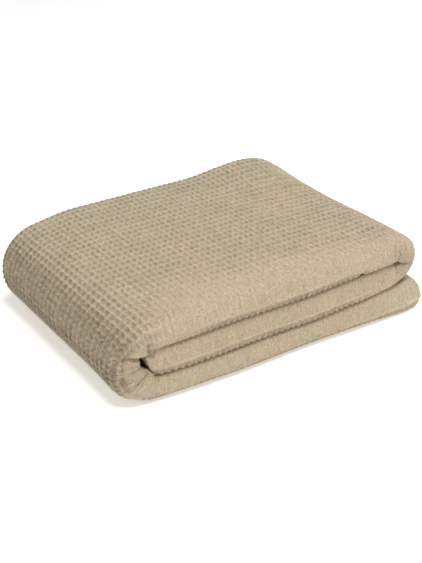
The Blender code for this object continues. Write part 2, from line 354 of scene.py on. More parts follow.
# %% [markdown]
# ## Creases and nicks
#
# The near end of the big fold is the most crumpled place of the blanket: its inner plies have less
# way to go than its outer ones, so they gather beside the hollow. The main creases are given one by
# one, as short lists, because noise would put them anywhere. Each one runs straight out from the
# fold's middle, at an angle and between two distances, with soft shoulders. Bulges push the
# hollow's rim in and out. A nick is a short crease that runs up and down across a folded edge.

# %% Creases of the big fold and nicks of the edges
MARKS_FROM = -0.105             # Y from which the big fold's near end is crumpled
CREASE_FADE = 0.006             # length over which a crease begins and ends
SHOULDER = 0.4                  # share of a crease's depth that its soft shoulders have
SHOULDER_WIDER = 3              # and how many times as wide as the crease they are
INNER_REACH = 0.014             # how deep into the packet a bulge of the hollow's rim goes
INNER_GAP = 0.0015              # inside the hollow, the tucked end isn't moved by it
# Angles are degrees round the middle of the big fold, 90 is up and 180 is -X; lengths are metres.
FOLD_CREASES = [
    {"angle": 157, "spread": 3.0, "from": 0.019, "to": 0.040, "depth": 0.0060},
    {"angle": 138, "spread": 4.0, "from": 0.022, "to": 0.036, "depth": 0.0016},
    {"angle": 174, "spread": 3.0, "from": 0.024, "to": 0.036, "depth": 0.0016},
    {"angle": 190, "spread": 4.0, "from": 0.018, "to": 0.031, "depth": 0.0038},
    {"angle": 200, "spread": 1.7, "from": 0.029, "to": 0.042, "depth": 0.0022},
    {"angle": 209, "spread": 1.7, "from": 0.028, "to": 0.042, "depth": 0.0026},
    {"angle": 218, "spread": 1.7, "from": 0.031, "to": 0.043, "depth": 0.0022},
    {"angle": 224, "spread": 3.0, "from": 0.017, "to": 0.034, "depth": 0.0040},
]
FOLD_BULGES = [
    {"angle": 116, "spread": 12, "pull": -0.0030},
    {"angle": 154, "spread": 8, "pull": -0.0045},
    {"angle": 222, "spread": 24, "pull": 0.0060},
    {"angle": 250, "spread": 15, "pull": 0.0025},
]
# Short creases across the folded edges: the place along X, and the heights they run between.
EDGE_NICKS = [
    {"x": -0.1645, "low": 0.0645, "high": 0.0760, "half_width": 0.0018, "depth": 0.0034},
    {"x": 0.148, "low": 0.0760, "high": 0.0900, "half_width": 0.0020, "depth": 0.0024},
    {"x": 0.156, "low": 0.0780, "high": 0.0950, "half_width": 0.0020, "depth": 0.0030},
    {"x": 0.164, "low": 0.0770, "high": 0.0900, "half_width": 0.0020, "depth": 0.0024},
    {"x": 0.105, "low": 0.0540, "high": 0.0700, "half_width": 0.0014, "depth": 0.0016},
    {"x": 0.105, "low": 0.0650, "high": 0.0700, "half_width": 0.0034, "depth": 0.0060},
]
NICK_FADE = 0.003               # length over which a nick begins and ends
NICKS_FROM = -0.112             # Y from which they show


def round_big_fold(x, z):
    """Where a place is from the big fold's middle: sideways, up, distance, angle in degrees."""
    from_x, from_z = x - LEFT_TURN_X, z - MIDDLE_HEIGHT
    angle = np.degrees(np.arctan2(from_z, from_x)) % 360
    return from_x, from_z, np.hypot(from_x, from_z), angle


def fold_marks(x, y, z):
    """Creases and small gathers of the big fold's near end, where its inner plies are crowded."""
    from_x, from_z, distance, angle = round_big_fold(x, z)
    front = near_front(y, MARKS_FROM) * smooth(0.5 - from_x / CREASE_FADE)
    for row in FOLD_CREASES:
        along_it = between(distance, row["from"], row["to"], CREASE_FADE)
        away = (angle - row["angle"]) / row["spread"]
        across_it = (1 - SHOULDER) * hump(away, 0, 1) + SHOULDER * hump(away, 0, SHOULDER_WIDER)
        y = y + row["depth"] * along_it * across_it * front
    deeper = distance - (BAND_PITCH - PACKET_THICK / 2)
    inner = smooth(1 - deeper / INNER_REACH) * smooth((deeper + INNER_GAP) / INNER_GAP)
    for row in FOLD_BULGES:
        pull = row["pull"] * inner * hump(angle, row["angle"], row["spread"]) * front
        x = x - from_x / np.maximum(distance, PLY_THICK) * pull
        z = z - from_z / np.maximum(distance, PLY_THICK) * pull
    return x, y, z


def nicked(x, y, z):
    """Short creases that run up and down across the folded edges at the front."""
    front = near_front(y, NICKS_FROM)
    for row in EDGE_NICKS:
        inside = between(z, row["low"], row["high"], NICK_FADE)
        y = y + row["depth"] * inside * hump(x, row["x"], row["half_width"]) * front
    return x, y, z


print(len(FOLD_CREASES), "creases and", len(FOLD_BULGES), "bulges on the big fold, and",
      len(EDGE_NICKS), "nicks")

# %% [markdown]
# ## All the soft moves together
#
# Last, the corners draw in, the lowest edge rolls under, the big fold's foot spreads on the floor,
# and the edges wander. One function makes all the moves in their order: the edges hang and crease
# while the bundle is still even, and then it settles as a whole.

# %% The laid bundle
CORNERS = [
    {"end": -1, "side": 1, "from_x": 0.095, "draw": 0.016, "low": 1.0, "high": 1.0},
    {"end": -1, "side": -1, "from_x": 0.110, "draw": 0.006, "low": 0.0, "high": 1.0},
    {"end": -1, "side": -1, "from_x": 0.120, "draw": 0.012, "low": 1.0, "high": 0.0},
    {"end": 1, "side": 1, "from_x": 0.130, "draw": 0.007, "low": 0.8, "high": 1.0},
    {"end": 1, "side": -1, "from_x": 0.120, "draw": 0.016, "low": 0.1, "high": 1.0},
    {"end": 1, "side": -1, "from_x": 0.168, "draw": 0.006, "low": 1.0, "high": 0.0},
]
CORNER_HEIGHT = 0.070           # the height at which a corner draws in fully
LOWER_EDGE_TUCK = 0.0065        # the lowest band's folded edge rolls under a little
LOWER_EDGE_HEIGHT = 0.0120      # up to about this height
TUCK_ENDS_AT = 0.190            # X by which that has faded out
TUCK_FADE = 0.080               # over this length
LEFT_FOOT_SPREAD = 0.0062       # the big fold's near corner spreads outwards on the floor
MIDDLE_BAND_SET_BACK = 0.0015   # the middle band's folded edge lies behind the other two
EDGE_WANDER = 0.0010            # how far the folded edges stray from a straight line
EDGE_WAVES = 2.3                # waves of that along the bundle
EDGE_WAVE_LEAN = 60.0           # radians by which the wave shifts for each metre of height
FRONT_POWER = 3                 # these moves of the front edge fade fast towards the middle


def settled(x, y, z):
    """Moves points of the evenly folded bundle to where the laid cloth has them."""
    x, y, z = nicked(*fold_marks(*sagged(x, y, z)))
    inset = np.zeros_like(x)
    for row in CORNERS:
        share = (x * row["end"] - row["from_x"]) / (BUNDLE_LENGTH / 2 - row["from_x"])
        share = np.clip(share, 0, None) * (y * row["side"] > 0)
        height_share = row["low"] + (row["high"] - row["low"]) * smooth(z / CORNER_HEIGHT)
        inset = inset + row["draw"] * share ** 2 * height_share
    front = np.clip(-y / HALF_WIDTH, 0.0, 1.0) ** FRONT_POWER
    middle_band = hump(z, MIDDLE_HEIGHT, BAND_PITCH / 2)
    under = hump(z, 0, LOWER_EDGE_HEIGHT) * smooth((TUCK_ENDS_AT - x) / TUCK_FADE)
    wave = np.sin(2 * math.pi * EDGE_WAVES * x / BUNDLE_LENGTH + EDGE_WAVE_LEAN * z)
    laid_y = y * (1 - inset / HALF_WIDTH)
    laid_y = laid_y + front * (MIDDLE_BAND_SET_BACK * middle_band + LOWER_EDGE_TUCK * under)
    laid_y = laid_y + front * EDGE_WANDER * wave
    turned = np.clip(LEFT_TURN_X - x, 0, None) / (LEFT_TURN_X - LEFT_END)
    spread = LEFT_FOOT_SPREAD * turned * front * (1 - smooth(z / MIDDLE_HEIGHT))
    return x - spread, laid_y, settled_height(x, y, z)


near_corner = settled(np.array([RIGHT_END]), np.array([-HALF_WIDTH]), np.array([TOP_HEIGHT]))
print("the top band's near right corner is laid at, in mm,",
      [round(1000 * float(value[0]), 1) for value in near_corner])

# %% [markdown]
# ## Lines of the net
#
# The sheet is a net of lines along and across the cloth. A plain grid could have them everywhere at
# the same distance, but most of its points would be spent on plies that nobody sees. So where the
# weave shows, a line runs for every quarter of a cell along and every fifth of a cell across, and
# each raised yarn has a line of its own. Inside the bundle only a few of those lines are used. Even
# steps along a bent way need its length: it is added up from many short chords and then read
# backwards.

# %% Lines across the width and along the length
LINES_PER_CELL_ALONG = 4
LINES_PER_CELL_ACROSS = 5
SHOWN_FROM, FOREMOST_AT, SHOWN_TO = 1, 1.5, 4    # the part of the way across that shows
CHORDS = 40000                  # short chords from which a length is added up
PASS_STEPS = 11                 # coarse lines in one hidden pass
TURN_STEPS = {5: 8, 7: 5, 9: 5}  # coarse lines in the hidden turns across the width


def lengths(first, second):
    """Distance run at each point of a curve."""
    return np.concatenate([[0.0], np.cumsum(np.hypot(np.diff(first), np.diff(second)))])


q_dense = np.linspace(0, 2 * len(PASSES) - 1, CHORDS)
run_across = lengths(*across(q_dense, DOUBLE_THICK / 2))
p_dense = np.linspace(0, 6, CHORDS)
run_along = lengths(*along(p_dense, np.full(CHORDS, PACKET_THICK / 2)))


def q_at(run):
    """The place q at a distance run across the width."""
    return np.interp(run, run_across, q_dense)


def run_at(q):
    """The distance run across the width at a place q."""
    return np.interp(q, q_dense, run_across)


fine_from, foremost, fine_to = run_at(SHOWN_FROM), run_at(FOREMOST_AT), run_at(SHOWN_TO)
fine_step = CELL_ACROSS / LINES_PER_CELL_ACROSS
fine_runs = np.arange(foremost - fine_step * math.floor((foremost - fine_from) / fine_step),
                      fine_to, fine_step)
q_parts = [np.linspace(0, 1, PASS_STEPS + 1)[:-1], q_at(fine_runs)]
for stretch in range(SHOWN_TO, 2 * len(PASSES) - 1):
    steps = TURN_STEPS.get(stretch, PASS_STEPS)
    q_parts.append(stretch + np.arange(steps) / steps)
q_parts.append([2 * len(PASSES) - 1.0])
q_lines = np.concatenate(q_parts)
flat_across = run_at(q_lines) - foremost

v_lines = np.arange(0, run_along[-1], CELL_ALONG / LINES_PER_CELL_ALONG)
v_lines[-1] = run_along[-1]
p_lines = np.interp(v_lines, run_along, p_dense)
print(len(v_lines), "lines along and", len(q_lines), "across")

# %% [markdown]
# ## All points of the sheet
#
# The two rules and the settling are worked out for all lines and all four faces at once. `w` counts
# the faces: 0 is the outside of the packet, 1 and 2 are the faces between the two plies, and 3 is
# the inner one. At the doubled end the two plies close round.

# %% Points at every crossing of the lines
FACES = [DOUBLE_THICK / 2, PLY_GAP / 2, -PLY_GAP / 2, -DOUBLE_THICK / 2]
END_ANGLES = [0.0, 22.0, 44.0, 66.0, 82.0]      # degrees round the doubled end

places = np.zeros((len(v_lines) + len(END_ANGLES), len(q_lines), 4, 3))
SLIT_END = len(v_lines) - 1
section_heights = np.zeros((len(q_lines), 4))
for w, off in enumerate(FACES):
    y, n = across(q_lines, off)
    section_heights[:, w] = n
    x, z = along(p_lines[:, None], n[None, :])
    places[:SLIT_END + 1, :, w, 0] = x
    places[:SLIT_END + 1, :, w, 1] = y
    places[:SLIT_END + 1, :, w, 2] = z

last_line = places[SLIT_END]
end_middle = (last_line[:, 0] + last_line[:, 3]) / 2
for step, angle in enumerate(END_ANGLES):
    closing = last_line.copy()
    share = math.cos(math.radians(angle))
    for w in (0, 3):
        closing[:, w, 1:] = end_middle[:, 1:] + (last_line[:, w, 1:] - end_middle[:, 1:]) * share
    height = BOTTOM_HEIGHT - closing[:, :, 2]
    closing[:, :, 0] = doubled_end(height) + math.sin(math.radians(angle)) * DOUBLE_THICK / 2
    places[SLIT_END + 1 + step] = closing
END = len(places) - 1
LAST_ACROSS = len(q_lines) - 1
print("the sheet has", places.shape[0] * places.shape[1] * 4, "places to choose from")

# %% [markdown]
# ## Forms that no rule gives
#
# Four forms are made one by one on the points. The line between the two upper bands goes on
# round the fold at the right end as a shallow crease. The big fold's near end is filled out, so
# that it is a full lip round a small hollow. The near corner of the tucked end is rounded like a
# pillow's. At the hems the two faces of a ply draw together. Then the whole bundle settles.

# %% Nose, lip, tip and hems
PINCH_LENGTH = 0.014            # from the inner end of the line to where it is only a crease
PINCH_FALL = 0.20               # the crease falls by this much for each metre towards +X
PINCH_WIDTH = 0.0040            # half of the crease's width
PINCH_DEPTH = 0.0030
PINCH_FROM = -0.115             # Y from which the fold is pinched
TIP_FROM = -0.060               # Y from which the tucked end's tip is rounded
TIP_FADE = 0.050                # and over which that comes in
TIP_LENGTH = 0.0045             # how far along the cloth the rounding goes
TIP_DRAW = 0.0045               # how far the tip's end is drawn back
TIP_THINNER = 0.05              # share by which it is thinner there
# How far the inner side of the big fold's near end is filled out to the front, by angle.
FOLD_FILLINGS = [
    {"angle": 128, "spread": 34, "share": 0.85},
    {"angle": 212, "spread": 34, "share": 0.80},
    {"angle": 258, "spread": 25, "share": 0.75},
]
HEM_ROUNDING = {0: 0.35, 1: 0.85}  # share of a ply's thickness at its last lines


def round_hem(points, outer, inner):
    """Draws the two faces of a ply together in the lines next to its hem."""
    for line, share in HEM_ROUNDING.items():
        for rim in (points[line], points[:, line], points[:, LAST_ACROSS - line]):
            middle = (rim[..., outer, :] + rim[..., inner, :]) / 2
            for w in (outer, inner):
                rim[..., w, :] = middle + (rim[..., w, :] - middle) * share


def inner_hollow(heights):
    """How far the inner half of the packet's folded edge lies behind its foremost line."""
    return behind(np.clip(-heights / (PACKET_THICK / 2), 0, 1)[None], FOLD_SQUARENESS)


def pinch_nose(points, heights):
    """Draws the line between the two upper bands on round the fold at +X, as a shallow crease."""
    x, y, z = np.moveaxis(points[:SLIT_END + 1], -1, 0)
    in_fold = ((p_lines > 1) & (p_lines < 2))[:, None, None]
    radius = PACKET_THICK / 2
    beyond = np.clip(x - RIGHT_TURN_X, 0, None)
    fading = 1 - smooth(beyond / PINCH_LENGTH)
    crease = (MIDDLE_HEIGHT + TOP_HEIGHT) / 2 - PINCH_FALL * beyond
    width = PINCH_WIDTH + (radius - PINCH_WIDTH) * fading
    depth = PINCH_DEPTH + (radius - PINCH_DEPTH) * fading
    near = np.clip(1 - np.abs(z - crease) / width, 0, 1)
    groove = depth * (1 - (1 - near ** FOLD_SQUARENESS) ** (1 / FOLD_SQUARENESS))
    here = in_fold * near_front(y, PINCH_FROM)
    points[:SLIT_END + 1, ..., 1] += here * (groove - inner_hollow(heights))


def fill_big_fold(points, heights):
    """Fills out the inner side of the big fold's near end, which hides most of its hollow."""
    x, y, z = np.moveaxis(points[:SLIT_END + 1], -1, 0)
    angle = round_big_fold(x, z)[3]
    hollow = inner_hollow(heights)
    front = near_front(y, PINCH_FROM) * (p_lines > 2)[:, None, None]
    for row in FOLD_FILLINGS:
        share = row["share"] * hump(angle, row["angle"], row["spread"])
        points[:SLIT_END + 1, ..., 1] -= hollow * share * front


def round_tip(points):
    """Rounds the near corner of the tucked end, so that it ends like a pillow."""
    share = np.clip(1 - v_lines / TIP_LENGTH, 0, 1)
    closing = (1 - np.sqrt(1 - share ** 2))[:, None, None]
    y = points[:SLIT_END + 1, :, :, 1]
    front = smooth((TIP_FROM - y) / TIP_FADE)
    points[:SLIT_END + 1, :, :, 1] += TIP_DRAW * closing * front
    z = points[:SLIT_END + 1, :, :, 2]
    points[:SLIT_END + 1, :, :, 2] -= (z - MIDDLE_HEIGHT) * TIP_THINNER * closing


pinch_nose(places, section_heights)
fill_big_fold(places, section_heights)
round_tip(places)
round_hem(places[:SLIT_END], 0, 1)
round_hem(places[:SLIT_END], 2, 3)
places = np.stack(settled(*np.moveaxis(places, -1, 0)), axis=-1)
print("the laid bundle is", round(1000 * places[..., 2].max(), 1), "mm high at its points")

# %% [markdown]
# ## The closed mesh
#
# A Solidify modifier could give a thin sheet its thickness, but in folds as tight as these its
# walls would cross. So both faces of each ply are points of the net already, and the outside of the
# closed sheet is made of panels: its faces between two sets of lines. A panel in sight uses every
# line and a hidden one only a few. Where a coarse panel meets a fine one, its faces take up the
# fine one's points in their rim, so the mesh stays closed.

# %% Fine and coarse lines
COARSE_ALONG = 11               # fine steps in one coarse step, in the bands
COARSE_IN_TURNS = 6             # and in the two folds
COARSE_FRONT, COARSE_TOP, COARSE_BACK = 3, 12, 2    # and across the width


def nearest(lines, value):
    """The number of the line nearest to a value."""
    return int(np.argmin(np.abs(lines - value)))


turn_starts = [nearest(p_lines, p) for p in (1, 2, 3, 4)]
front_start, top_start, back_start, back_end = [nearest(q_lines, q) for q in (1, 2, 3, 4)]
marks = [0] + turn_starts + [SLIT_END]
coarse_along = []
for number, (begin, end) in enumerate(zip(marks, marks[1:])):
    step = COARSE_IN_TURNS if number in (1, 3) else COARSE_ALONG
    coarse_along += list(range(begin, end - step // 2, step))
coarse_along += [SLIT_END]
beyond = list(range(SLIT_END + 1, END + 1))
coarse_whole = coarse_along + beyond
fine_whole = list(range(0, END + 1))

fine_front = list(range(front_start, top_start + 1))
fine_top = list(range(top_start, back_start + 1))
fine_back = list(range(back_start, back_end + 1))
coarse_first = list(range(0, front_start + 1))
coarse_front = fine_front[:-1:COARSE_FRONT] + [top_start]
coarse_top = fine_top[:-1:COARSE_TOP] + [back_start]
coarse_back = fine_back[:-1:COARSE_BACK] + [back_end]
coarse_last = list(range(back_end, LAST_ACROSS + 1))
coarse_all = coarse_first + coarse_front[1:] + coarse_top[1:] + coarse_back[1:] + coarse_last[1:]
print(len(coarse_whole), "of", len(fine_whole), "lines along are coarse ones, and",
      len(coarse_all), "of", len(q_lines), "across")

# %% Panels
quads = []


def panel(lines, crossings, w):
    """Faces of face w between neighbouring lines."""
    for s0, s1 in zip(lines, lines[1:]):
        for u0, u1 in zip(crossings, crossings[1:]):
            quads.append(((s0, u0, w), (s1, u0, w), (s1, u1, w), (s0, u1, w)))


def rim_along(lines, u, w):
    """The edge at line u of the ply, or gap, between the faces w and w + 1."""
    for s0, s1 in zip(lines, lines[1:]):
        quads.append(((s0, u, w), (s1, u, w), (s1, u, w + 1), (s0, u, w + 1)))


def rim_across(crossings, s, w):
    """The same edge at line s, across the width."""
    for u0, u1 in zip(crossings, crossings[1:]):
        quads.append(((s, u0, w), (s, u1, w), (s, u1, w + 1), (s, u0, w + 1)))


for crossings in (coarse_first, coarse_last):
    panel(coarse_whole, crossings, 0)
for crossings in (fine_front, fine_back):
    panel(fine_whole, crossings, 0)
panel([s for s in coarse_whole if s <= turn_starts[0]], coarse_top, 0)
panel(list(range(turn_starts[0], turn_starts[3] + 1)), fine_top, 0)
panel([s for s in coarse_whole if s >= turn_starts[3]], coarse_top, 0)
panel(coarse_whole, coarse_all, 3)
slit = coarse_along + [SLIT_END + 1]
for w in (1, 2):
    panel(slit, coarse_all, w)
for u in (0, LAST_ACROSS):
    rim_along(slit, u, 0)
    rim_along(slit, u, 2)
    for w in (0, 1, 2):
        rim_along([SLIT_END + 1] + beyond[1:], u, w)
for w in (0, 2):
    rim_across(coarse_all, 0, w)
rim_across(coarse_all, SLIT_END + 1, 1)
for w in (0, 1, 2):
    rim_across(coarse_all, END, w)
print(len(quads), "faces, of which", sum(q[2][0] - q[0][0] == 1 for q in quads), "one line long")

# %% Points in use and the mesh
used = np.zeros(places.shape[:3], bool)
for quad in quads:
    for key in quad:
        used[key] = True
number_of = np.cumsum(used).reshape(used.shape) - 1


def rim(quad):
    """The points round a face, with those that a finer neighbour puts on its sides."""
    found = []
    for here, there in zip(quad, quad[1:] + quad[:1]):
        axis = next(i for i in range(3) if here[i] != there[i])
        way = 1 if there[axis] > here[axis] else -1
        for place in range(here[axis], there[axis], way):
            key = here[:axis] + (place,) + here[axis + 1:]
            if used[key]:
                found.append(int(number_of[key]))
    return found


sheet_mesh = bpy.data.meshes.new("waffle_blanket")
sheet_mesh.from_pydata(places[used].tolist(), [], [rim(quad) for quad in quads])
closed = bmesh.new()
closed.from_mesh(sheet_mesh)
bmesh.ops.recalc_face_normals(closed, faces=closed.faces)
open_edges = sum(len(edge.link_faces) != 2 for edge in closed.edges)
closed.to_mesh(sheet_mesh)
closed.free()
print(len(sheet_mesh.vertices), "points;", open_edges, "edges without two faces")

# %% [markdown]
# ## Where each point lies on the flat cloth
#
# A weave follows the cloth and not the room, so each point keeps its place on the flat cloth, in
# metres. An unwrapped UV map could serve too, but the net knows every place already, and without
# seams. A point also keeps how much of the weave is real relief there: all of it where the cloth
# shows, none of it in the hidden plies.

# %% Flat places and relief
FADE_LINES = 5                  # the relief fades in over this many lines

flat = np.zeros(places.shape)
flat[..., 0] = flat_across[None, :, None]
end_run = v_lines[-1] + np.sin(np.radians(END_ANGLES)) * DOUBLE_THICK / 2 + PLY_THICK
flat_along = np.concatenate([v_lines, end_run])
half_cloth = flat_along[-1]
flat[..., 1] = flat_along[:, None, None]
flat[:, :, 2:, 1] = 2 * half_cloth - flat_along[:, None, None]


def after(lines, mark):
    """0 up to a marked line, rising to 1 over the next few."""
    return smooth((lines - mark) / FADE_LINES)


def before(lines, mark):
    """The other way round: 1 well before a marked line, and 0 from there on."""
    return smooth((mark - lines) / FADE_LINES)


relief = np.zeros(used.shape)
lines_across, lines_along = np.arange(len(q_lines)), np.arange(len(places))
shown_across = after(lines_across, front_start) * before(lines_across, back_end)
shown_along = after(lines_along, turn_starts[0]) * before(lines_along, turn_starts[3])
on_edges = np.maximum(before(lines_across, top_start), after(lines_across, back_start))
relief[:, :, 0] = shown_across[None, :] * np.maximum(on_edges[None, :], shown_along[:, None])
print("the weave is real relief at", int((relief[used] > 0).sum()), "of",
      int(used.sum()), "points")

# %% [markdown]
# ## How open the pits are
#
# The pits differ with the pull in the cloth, so each point also keeps how open they are: 1 is the
# even weave. They nearly close over the folded edges at the front, where the cloth is pulled, but
# not in the strip under each band's foremost line. They are crowded flat on the big fold's near
# end, open on its outside, and close again where it presses on the floor.

# %% Openness
STRETCHED_FROM = -0.040         # Y from which the weave is pulled flatter, towards the front edge
STRETCHED_LATER = -0.062        # how much further to the front that starts at the right end
STRETCHED_MIDDLE = 0.030        # X at which it starts half of that further
STRETCHED_LOSS = 0.82           # the share of the pits' depth that is gone there
CROWDED_SHARE = 0.45            # and on the big fold's near end, as a share of that
STRETCHED_LEFT = -0.175         # X at which that starts
STRETCHED_FADE = 0.060          # and over what length
CROWDED_FROM = 0.010            # on the big fold's near end, the height in the packet
CROWDED_FADE = 0.008            # from which the weave is crowded flat, and how fast
INNER_FROM = 0.004              # further in than this it is flatter still
INNER_SHARE = 0.50              # by this share
STRIP_FADE = 0.04               # under each band's foremost line is a strip that keeps its pits
STRIP_SHARE = 0.75              # to this share
OPENED = 1.50                   # bent round the big fold, the pits open by this share
PRESSED_LEFT = -0.150           # X and height under which the big fold presses on the floor,
PRESSED_UNDER = 0.040           # so that its pits close there
PRESSED_FADE = 0.030            # over this length
PRESSED_LOSS = 0.75             # by this share
# Stretches of the packet, counted as `p` is, and the length of their soft ends.
RIGHT_FOLD, BIG_FOLD = (0.85, 2.15), (2.85, 4.1)
CROWDED_STRETCH, OPENED_STRETCH = (2.9, 4.2), (3.25, 4.1)
TIP_STRETCH = 0.02
STRETCH_FADE = 0.25

pulled_from = smooth((places[..., 0, 0] - STRETCHED_MIDDLE) / BUNDLE_LENGTH + 0.5)
pulled_from = STRETCHED_FROM + STRETCHED_LATER * pulled_from
stretched = near_front(places[..., 0, 1], pulled_from)
stretched = stretched * smooth((places[..., 0, 0] - STRETCHED_LEFT) / STRETCHED_FADE)
p_all = np.append(p_lines, np.full(len(END_ANGLES), 6.0))[:, None]
in_right_fold, in_big_fold, in_crowded, in_opened = [
    between(p_all, *stretch, STRETCH_FADE)
    for stretch in (RIGHT_FOLD, BIG_FOLD, CROWDED_STRETCH, OPENED_STRETCH)]
on_front = (q_lines > 1) & (q_lines < 2)
crowded = on_front * smooth((CROWDED_FROM - section_heights[:, 0]) / CROWDED_FADE)
inner = on_front * smooth((INNER_FROM - section_heights[:, 0]) / CROWDED_FADE)
crowded_loss = CROWDED_SHARE * crowded + INNER_SHARE * inner
stretched = np.maximum(stretched, crowded_loss * in_crowded)
upward = np.where((p_all > 1) & (p_all < 3), 1, -1)
below_line = on_front * smooth(upward * (FOREMOST_AT - q_lines) / STRIP_FADE)
on_band = on_front * (1 - in_right_fold) * (1 - in_big_fold) * (p_all > TIP_STRETCH)
below_line = below_line * on_band
openness = np.ones(used.shape)
openness[:, :, 0] = 1 - STRETCHED_LOSS * stretched * (1 - STRIP_SHARE * below_line)
openness[:, :, 0] *= 1 + OPENED * in_opened * (1 - on_front * crowded)
pressed = smooth((PRESSED_UNDER - places[..., 0, 2]) / PRESSED_FADE)
pressed = pressed * smooth((PRESSED_LEFT - places[..., 0, 0]) / PRESSED_FADE)
openness[:, :, 0] *= 1 - PRESSED_LOSS * pressed
print("the pits' openness goes from", round(openness.min(), 2), "to", round(openness.max(), 2))

# %% What each point keeps
def add_attribute(mesh, name, kind, values):
    """Keeps one value for each point of a mesh, under a name that nodes can read."""
    attribute = mesh.attributes.new(name, kind, "POINT")
    field = "vector" if kind == "FLOAT_VECTOR" else "value"
    attribute.data.foreach_set(field, np.ascontiguousarray(values, np.float32).ravel())


add_attribute(sheet_mesh, "flat_place", "FLOAT_VECTOR", flat[used])
shares = {"relief": relief, "openness": openness,
          "on_band": np.repeat(on_band[..., None], 4, axis=2),
          "below_line": np.repeat(below_line[..., None], 4, axis=2)}
for name, values in shares.items():
    add_attribute(sheet_mesh, name, "FLOAT", values[used])
sheet_mesh.shade_smooth()
blanket_sheet = bpy.data.objects.new("blanket_sheet", sheet_mesh)
bpy.context.scene.collection.objects.link(blanket_sheet)
print("each point keeps its flat place and", ", ".join(shares))

# %% [markdown]
# ## A helper for node trees
#
# Materials and Geometry Nodes are both made of nodes, so one small helper serves them all: it adds
# a node, sets its options, and fills its inputs with numbers or with links from other nodes.

# %% The helper
def node(tree, kind, inputs=None, **options):
    """Adds a node. An input is named or numbered, and its value is a number or an output."""
    new = tree.nodes.new(kind)
    for name, value in options.items():
        setattr(new, name, value)
    for name, value in (inputs or {}).items():
        if isinstance(value, bpy.types.NodeSocket):
            tree.links.new(value, new.inputs[name])
        else:
            new.inputs[name].default_value = value
    return new


def colour(code):
    """An sRGB hex colour as the linear numbers that Blender works with."""
    parts = [int(code[i:i + 2], 16) / 255 for i in (1, 3, 5)]
    linear = [c / 12.92 if c <= 0.04045 else ((c + 0.055) / 1.055) ** 2.4 for c in parts]
    return (*linear, 1.0)


print("white is", colour("#FFFFFF")[:3], "and middle grey", round(colour("#808080")[0], 3))

# %% [markdown]
# ## The waffle as a pattern
#
# The relief and the finish draw the same waffle, so both trees use the same few groups of nodes.
# They take places counted in cells. The fraction of such a place says how far it is from the raised
# yarns, and the two directions together give a round pit. Each pit also gets a chance of its own,
# so that no row is quite even.

# %% Pits and raised yarns
SHALLOWEST = 0.72               # share of the full depth that the shallowest pits have
PIT_ROUNDNESS = 2.0             # 1 is a pointed pit, more is one with a flatter bottom


def rises_from(tree, coordinates):
    """Two heights from places counted in cells: 1 on the lines between cells, 0 midway."""
    parts = node(tree, "ShaderNodeSeparateXYZ", {0: coordinates})
    found = []
    for axis in ("X", "Y"):
        part = node(tree, "ShaderNodeMath", {0: parts.outputs[axis]}, operation="FRACT")
        twice = node(tree, "ShaderNodeMath", {0: part.outputs[0], 1: 2.0, 2: -1.0},
                     operation="MULTIPLY_ADD")
        found.append(node(tree, "ShaderNodeMath", {0: twice.outputs[0]},
                          operation="ABSOLUTE").outputs[0])
    return found


def cell_height(tree, coordinates):
    """0 at the bottom of a round pit and 1 on the raised yarns, from places counted in cells."""
    depths = []
    for rise in rises_from(tree, coordinates):
        power = node(tree, "ShaderNodeMath", {0: rise, 1: PIT_ROUNDNESS}, operation="POWER")
        depths.append(node(tree, "ShaderNodeMath", {0: 1.0, 1: power.outputs[0]},
                           operation="SUBTRACT").outputs[0])
    depth = node(tree, "ShaderNodeMath", {0: depths[0], 1: depths[1]}, operation="MULTIPLY")
    return node(tree, "ShaderNodeMath", {0: 1.0, 1: depth.outputs[0]},
                operation="SUBTRACT").outputs[0]


def uneven_share(tree, cells, openness):
    """How open each pit is: the cloth's stretch, and a chance that is the same all over one pit."""
    whole = node(tree, "ShaderNodeVectorMath", {0: cells}, operation="FLOOR").outputs[0]
    chance = node(tree, "ShaderNodeTexWhiteNoise", {"Vector": whole},
                  noise_dimensions="2D").outputs["Value"]
    uneven = node(tree, "ShaderNodeMapRange", {0: chance, 1: 0.0, 2: 1.0, 3: SHALLOWEST, 4: 1.0})
    return node(tree, "ShaderNodeMath", {0: openness, 1: uneven.outputs[0]},
                operation="MULTIPLY").outputs[0]


def drawn_towards(tree, height, level, share):
    """The height's difference from a level, times a share."""
    above = node(tree, "ShaderNodeMath", {0: height, 1: level}, operation="SUBTRACT")
    return node(tree, "ShaderNodeMath", {0: above.outputs[0], 1: share, 2: level},
                operation="MULTIPLY_ADD").outputs[0]


print("the shallowest pits have", SHALLOWEST, "of the full depth")
